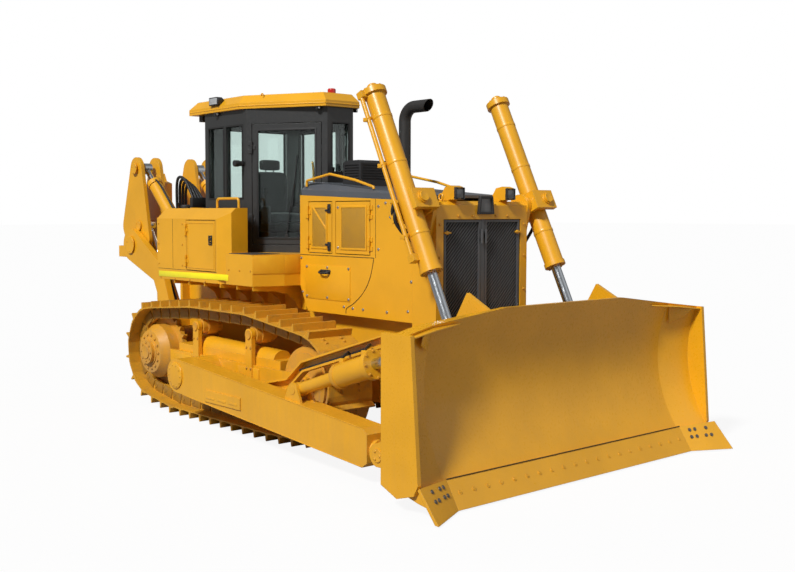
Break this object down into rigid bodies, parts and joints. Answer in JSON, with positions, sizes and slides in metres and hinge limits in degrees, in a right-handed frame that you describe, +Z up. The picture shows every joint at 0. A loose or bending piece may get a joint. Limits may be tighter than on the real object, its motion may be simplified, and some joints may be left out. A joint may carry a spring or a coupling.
{
  "type": "track-type bulldozer",
  "caption": "Track-type bulldozer with a raised front blade on two push arms, lift and tilt cylinders, an enclosed cab, opening doors and a raised single-shank rear ripper.",
  "frame": {"origin": "on the ground, under the middle of the overall length, on the centre plane", "axes": "+X forward to the blade, +Y to the machine's left, +Z up"},
  "size_m": [8.234, 4.2, 3.9445],
  "materials": {
    "body_paint": "satin",
    "dark_paint": "satin",
    "worn_steel": "worn",
    "cylinder_rod": "polished",
    "window_glass": "clear",
    "seat_fabric": "woven",
    "lamp_plastic": "glossy"
  },
  "bodies": {
    "chassis": {"main_frame": "body_paint", "engine_block": "dark_paint", "radiator_core": "dark_paint", "radiator_guard": "body_paint", "grille_post": "dark_paint", "hood": "dark_paint", "side_panel_right": "body_paint", "side_panel_left": "body_paint", "exhaust_stack": "dark_paint", "platform": "body_paint", "side_box_right": "body_paint", "side_box_left": "body_paint", "cab_shell": "dark_paint", "cab_roof": "body_paint", "cab_glass": "window_glass", "operator_seat": "seat_fabric", "dash_console": "dark_paint", "track_frames": "body_paint", "track_left": "body_paint", "track_right": "body_paint", "track_rollers": "body_paint", "idlers": "body_paint", "sprockets": "body_paint", "ripper_bracket": "body_paint", "handrails": "body_paint", "work_lamps": "dark_paint", "beacon": "lamp_plastic", "intake_box": "dark_paint"},
    "left_push_arm": {"push_arm_left": "body_paint"},
    "blade_assembly": {"blade": "body_paint", "cutting_edge": "body_paint", "end_bits": "body_paint", "brace_strut": "body_paint"},
    "right_push_arm": {"push_arm_right": "body_paint"},
    "tilt_cylinder_barrel": {"tilt_barrel": "body_paint"},
    "tilt_cylinder_rod": {"tilt_rod": "cylinder_rod"},
    "lift_cylinder_barrels": {"lift_barrels": "body_paint", "lift_yokes": "body_paint"},
    "lift_cylinder_rods": {"lift_rods": "cylinder_rod"},
    "ripper_lower_link": {"ripper_link": "body_paint"},
    "ripper_pins": {"ripper_pivot_pins": "worn_steel"},
    "ripper_carrier": {"ripper_beam": "body_paint", "ripper_shank": "body_paint"},
    "ripper_tilt_cylinder_barrels": {"ripper_tilt_barrels": "body_paint"},
    "ripper_tilt_cylinder_rods": {"ripper_tilt_rods": "cylinder_rod"},
    "ripper_lift_cylinder_barrels": {"ripper_lift_barrels": "body_paint"},
    "ripper_lift_cylinder_rods": {"ripper_lift_rods": "cylinder_rod"},
    "right_grille_leaf": {"grille_right": "dark_paint"},
    "left_grille_leaf": {"grille_left": "dark_paint"},
    "right_cab_door": {"cab_door_right": "dark_paint", "door_glass_right": "window_glass"},
    "left_cab_door": {"cab_door_left": "dark_paint", "door_glass_left": "window_glass"},
    "right_rear_hood_door": {"hood_door_rear_right": "body_paint"},
    "left_rear_hood_door": {"hood_door_rear_left": "body_paint"},
    "right_front_hood_door": {"hood_door_front_right": "body_paint"},
    "left_front_hood_door": {"hood_door_front_left": "body_paint"},
    "right_box_door": {"box_door_right": "body_paint"},
    "left_box_door": {"box_door_left": "body_paint"}
  },
  "joints": [
    {"name": "blade_lift", "type": "hinge", "parent": "chassis", "child": "left_push_arm", "pos_m": [-0.517, 0, 0.6], "axis": [0, -1, 0], "range_deg": [-7.3, 14]},
    {"name": "blade_tilt", "type": "hinge", "parent": "left_push_arm", "child": "blade_assembly", "pos_m": [2.99, 1.62, 0.32], "axis": [1, 0, 0], "range_deg": [-5, 5]},
    {"name": "right_arm_swing", "type": "hinge", "parent": "left_push_arm", "child": "right_push_arm", "pos_m": [-0.517, 0, 0.6], "axis": [0, 1, 0], "range_deg": [-5.2, 5.2]},
    {"name": "tilt_cylinder_swing", "type": "hinge", "parent": "right_push_arm", "child": "tilt_cylinder_barrel", "pos_m": [1.678, -1.62, 0.715], "axis": [0, 1, 0], "range_deg": [-2, 2]},
    {"name": "tilt_cylinder_stroke", "type": "slide", "parent": "tilt_cylinder_barrel", "child": "tilt_cylinder_rod", "axis": [0.9491, 0, 0.315], "range_m": [-0.05, 0.05]},
    {"name": "lift_cylinder_swing", "type": "hinge", "parent": "chassis", "child": "lift_cylinder_barrels", "pos_m": [2.464, 0, 2.5], "axis": [0, -1, 0], "range_deg": [-7, 13]},
    {"name": "lift_cylinder_stroke", "type": "slide", "parent": "lift_cylinder_barrels", "child": "lift_cylinder_rods", "axis": [0.4308, 0, -0.9024], "range_m": [-0.87, 0.46]},
    {"name": "ripper_lift", "type": "hinge", "parent": "chassis", "child": "ripper_lower_link", "pos_m": [-2.5, 0, 1], "axis": [0, -1, 0], "range_deg": [0, 46]},
    {"name": "ripper_pin_turn", "type": "hinge", "parent": "ripper_lower_link", "child": "ripper_pins", "pos_m": [-3.553, 0, 1.985], "axis": [0, 1, 0], "range_deg": [0, 46]},
    {"name": "ripper_tilt", "type": "hinge", "parent": "ripper_pins", "child": "ripper_carrier", "pos_m": [-3.553, 0, 1.985], "axis": [0, 1, 0], "range_deg": [-8, 10]},
    {"name": "ripper_tilt_cylinder_swing", "type": "hinge", "parent": "chassis", "child": "ripper_tilt_cylinder_barrels", "pos_m": [-2.514, 0, 2.07], "axis": [0, -1, 0], "range_deg": [0, 46]},
    {"name": "ripper_tilt_cylinder_stroke", "type": "slide", "parent": "ripper_tilt_cylinder_barrels", "child": "ripper_tilt_cylinder_rods", "axis": [-0.7303, 0, 0.6831], "range_m": [-0.15, 0.12]},
    {"name": "ripper_lift_cylinder_swing", "type": "hinge", "parent": "chassis", "child": "ripper_lift_cylinder_barrels", "pos_m": [-2.48, 0, 0.6], "axis": [0, -1, 0], "range_deg": [0, 36.5]},
    {"name": "ripper_lift_cylinder_stroke", "type": "slide", "parent": "ripper_lift_cylinder_barrels", "child": "ripper_lift_cylinder_rods", "axis": [-0.5209, 0, 0.8536], "range_m": [-0.43, 0]},
    {"name": "right_grille_hinge", "type": "hinge", "parent": "chassis", "child": "right_grille_leaf", "pos_m": [2.5823, -0.027, 1.8], "axis": [0, 0, 1], "range_deg": [0, 85]},
    {"name": "left_grille_hinge", "type": "hinge", "parent": "chassis", "child": "left_grille_leaf", "pos_m": [2.5823, 0.027, 1.8], "axis": [0, 0, -1], "range_deg": [0, 85]},
    {"name": "right_cab_door_hinge", "type": "hinge", "parent": "chassis", "child": "right_cab_door", "pos_m": [-0.49857, -0.70681, 2.7], "axis": [0, 0, -1], "range_deg": [0, 70]},
    {"name": "left_cab_door_hinge", "type": "hinge", "parent": "chassis", "child": "left_cab_door", "pos_m": [-0.49857, 0.70681, 2.7], "axis": [0, 0, 1], "range_deg": [0, 70]},
    {"name": "right_rear_hood_door_hinge", "type": "hinge", "parent": "chassis", "child": "right_rear_hood_door", "pos_m": [0.512, -0.6443, 2.27], "axis": [0, 0, -1], "range_deg": [0, 100]},
    {"name": "right_front_hood_door_hinge", "type": "hinge", "parent": "chassis", "child": "right_front_hood_door", "pos_m": [1.566, -0.6443, 2.27], "axis": [0, 0, 1], "range_deg": [0, 100]},
    {"name": "right_box_door_hinge", "type": "hinge", "parent": "chassis", "child": "right_box_door", "pos_m": [-1.176, -1.2143, 2.05], "axis": [0, 0, -1], "range_deg": [0, 100]},
    {"name": "left_rear_hood_door_hinge", "type": "hinge", "parent": "chassis", "child": "left_rear_hood_door", "pos_m": [0.512, 0.6443, 2.27], "axis": [0, 0, 1], "range_deg": [0, 100]},
    {"name": "left_front_hood_door_hinge", "type": "hinge", "parent": "chassis", "child": "left_front_hood_door", "pos_m": [1.566, 0.6443, 2.27], "axis": [0, 0, -1], "range_deg": [0, 100]},
    {"name": "left_box_door_hinge", "type": "hinge", "parent": "chassis", "child": "left_box_door", "pos_m": [-1.176, 1.2143, 2.05], "axis": [0, 0, 1], "range_deg": [0, 100]}
  ],
  "couplings": [
    {"joint": "right_arm_swing", "follows": "blade_tilt", "ratio": 0.9239},
    {"joint": "tilt_cylinder_swing", "follows": "blade_tilt", "ratio": -0.2661},
    {"joint": "tilt_cylinder_stroke", "follows": "blade_tilt", "m_per_rad": -0.4827},
    {"joint": "lift_cylinder_swing", "follows": "blade_lift", "ratio": 0.85},
    {"joint": "lift_cylinder_stroke", "follows": "blade_lift", "m_per_rad": -3.5},
    {"joint": "ripper_pin_turn", "follows": "ripper_lift", "ratio": 1},
    {"joint": "ripper_tilt_cylinder_swing", "follows": "ripper_lift", "ratio": 1},
    {"joint": "ripper_tilt_cylinder_stroke", "follows": "ripper_tilt", "m_per_rad": -0.772},
    {"joint": "ripper_lift_cylinder_swing", "follows": "ripper_lift", "ratio": 0.772},
    {"joint": "ripper_lift_cylinder_stroke", "follows": "ripper_lift", "m_per_rad": -0.523}
  ]
}
